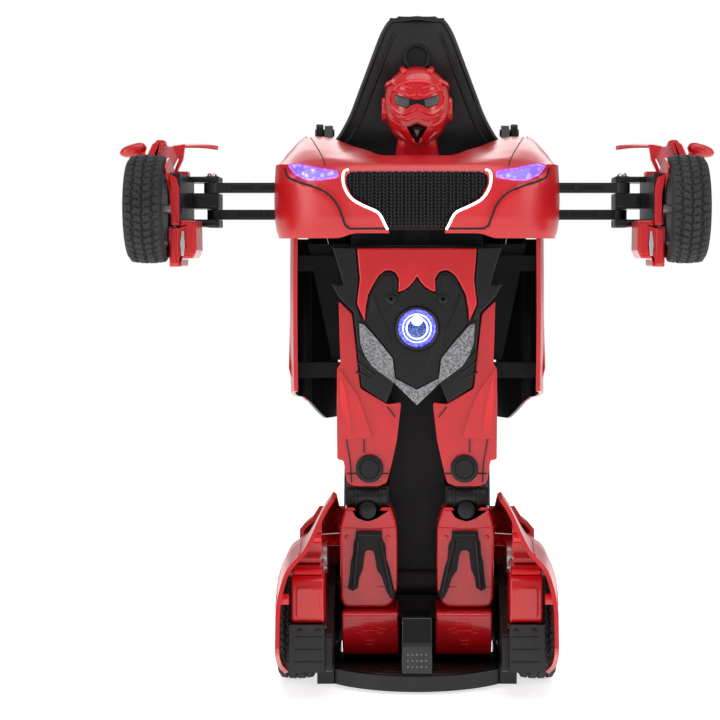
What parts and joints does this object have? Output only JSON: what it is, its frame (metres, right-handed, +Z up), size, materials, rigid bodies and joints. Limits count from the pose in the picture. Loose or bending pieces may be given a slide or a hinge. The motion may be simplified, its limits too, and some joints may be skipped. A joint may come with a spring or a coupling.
{
  "type": "transforming robot car",
  "caption": "Toy car standing as a robot: torso on a level rear chassis folds forward, nose and wheel arms stay level and close up into a car.",
  "frame": {"origin": "on the ground, straight under the main hinge, on the middle line", "axes": "+Z up, the robot faces -Y, +X is the robot's left; the car drives towards -Y"},
  "size_m": [0.297, 0.153, 0.336],
  "materials": {
    "red_paint": "satin metallic red paint",
    "red_plastic": "glossy moulded red",
    "black_plastic": "satin moulded black",
    "black_gloss": "gloss black",
    "grey_trim": "speckled grey",
    "tyre": "soft rubber",
    "rim": "silver painted",
    "lamp": "lit blue lens",
    "tail_lamp": "clear red",
    "white_line": "white light line",
    "steel": "bright steel",
    "board": "green board"
  },
  "bodies": {
    "base": {"chassis": "black_plastic", "base_disc": "black_plastic", "left_rear_shell": "red_paint", "right_rear_shell": "red_paint", "tail_panel": "red_paint", "tail_lamps": "tail_lamp", "hinge_pin": "steel", "sensor_post": "black_gloss", "drive_covers": "red_plastic", "gearboxes": "black_plastic", "drive_motors": "steel", "battery_pack": "black_plastic", "battery_door": "black_plastic", "circuit_board": "board", "base_screws": "steel"},
    "power_switch": {"power_switch": "black_plastic"},
    "torso": {"spine_frame": "black_plastic", "windscreen_panel": "black_gloss", "left_door": "red_paint", "right_door": "red_paint", "belly_plate": "red_plastic", "core_plate": "black_plastic", "core_trim": "grey_trim", "waist_wings": "black_plastic", "chest_lamp": "lamp", "torso_tub": "black_plastic", "left_thigh": "red_plastic", "right_thigh": "red_plastic", "knee_caps": "black_plastic", "left_shin": "red_plastic", "right_shin": "red_plastic", "shin_braces": "black_plastic", "left_foot": "red_plastic", "right_foot": "red_plastic", "helmet": "red_plastic", "face_inserts": "black_plastic"},
    "chest": {"nose_shell": "red_paint", "grille": "black_plastic", "grille_trim": "white_line", "headlights": "lamp", "chest_frame": "black_plastic", "chest_pins": "steel"},
    "left_rear_wheel": {"left_rear_tyre": "tyre", "left_rear_rim": "rim"},
    "left_upper_link": {"left_upper_link": "black_plastic"},
    "left_lower_link": {"left_lower_link": "black_plastic"},
    "left_hand": {"left_hand_bracket": "black_plastic", "left_caliper": "red_plastic", "left_fender": "red_paint"},
    "left_front_wheel": {"left_front_tyre": "tyre", "left_front_rim": "rim"},
    "right_rear_wheel": {"right_rear_tyre": "tyre", "right_rear_rim": "rim"},
    "right_upper_link": {"right_upper_link": "black_plastic"},
    "right_lower_link": {"right_lower_link": "black_plastic"},
    "right_hand": {"right_hand_bracket": "black_plastic", "right_caliper": "red_plastic", "right_fender": "red_paint"},
    "right_front_wheel": {"right_front_tyre": "tyre", "right_front_rim": "rim"}
  },
  "joints": [
    {"name": "stand_up", "type": "hinge", "parent": "base", "child": "torso", "pos_m": [0, 0, 0.045], "axis": [1, 0, 0], "range_deg": [0, 90]},
    {"name": "chest_level", "type": "hinge", "parent": "torso", "child": "chest", "pos_m": [0, 0.023, 0.277], "axis": [1, 0, 0], "range_deg": [-90, 0]},
    {"name": "power_switch_slide", "type": "slide", "parent": "base", "child": "power_switch", "axis": [1, 0, 0], "range_m": [0, 0.005]},
    {"name": "left_upper_link_swing", "type": "hinge", "parent": "chest", "child": "left_upper_link", "pos_m": [0.04, -0.026, 0.246], "axis": [0, 0, 1], "range_deg": [0, 96]},
    {"name": "left_lower_link_swing", "type": "hinge", "parent": "chest", "child": "left_lower_link", "pos_m": [0.04, -0.012, 0.236], "axis": [0, 0, 1], "range_deg": [0, 96]},
    {"name": "left_hand_swing", "type": "hinge", "parent": "left_upper_link", "child": "left_hand", "pos_m": [0.102, -0.026, 0.246], "axis": [0, 0, 1], "range_deg": [-96, 0]},
    {"name": "left_front_wheel_spin", "type": "hinge", "parent": "left_hand", "child": "left_front_wheel", "pos_m": [0.12848, -0.06166, 0.235], "axis": [1, 0, 0], "continuous": true},
    {"name": "left_rear_wheel_spin", "type": "hinge", "parent": "base", "child": "left_rear_wheel", "pos_m": [0.06, -0.022, 0.026], "axis": [1, 0, 0], "continuous": true},
    {"name": "right_upper_link_swing", "type": "hinge", "parent": "chest", "child": "right_upper_link", "pos_m": [-0.04, -0.026, 0.246], "axis": [0, 0, 1], "range_deg": [-96, 0]},
    {"name": "right_lower_link_swing", "type": "hinge", "parent": "chest", "child": "right_lower_link", "pos_m": [-0.04, -0.012, 0.236], "axis": [0, 0, 1], "range_deg": [-96, 0]},
    {"name": "right_hand_swing", "type": "hinge", "parent": "right_upper_link", "child": "right_hand", "pos_m": [-0.102, -0.026, 0.246], "axis": [0, 0, 1], "range_deg": [0, 96]},
    {"name": "right_front_wheel_spin", "type": "hinge", "parent": "right_hand", "child": "right_front_wheel", "pos_m": [-0.12848, -0.06166, 0.235], "axis": [1, 0, 0], "continuous": true},
    {"name": "right_rear_wheel_spin", "type": "hinge", "parent": "base", "child": "right_rear_wheel", "pos_m": [-0.06, -0.022, 0.026], "axis": [1, 0, 0], "continuous": true}
  ],
  "couplings": [
    {"joint": "chest_level", "follows": "stand_up", "ratio": -1},
    {"joint": "left_upper_link_swing", "follows": "stand_up", "ratio": 1.0667},
    {"joint": "left_lower_link_swing", "follows": "stand_up", "ratio": 1.0667},
    {"joint": "left_hand_swing", "follows": "stand_up", "ratio": -1.0667},
    {"joint": "right_upper_link_swing", "follows": "stand_up", "ratio": -1.0667},
    {"joint": "right_lower_link_swing", "follows": "stand_up", "ratio": -1.0667},
    {"joint": "right_hand_swing", "follows": "stand_up", "ratio": 1.0667}
  ]
}
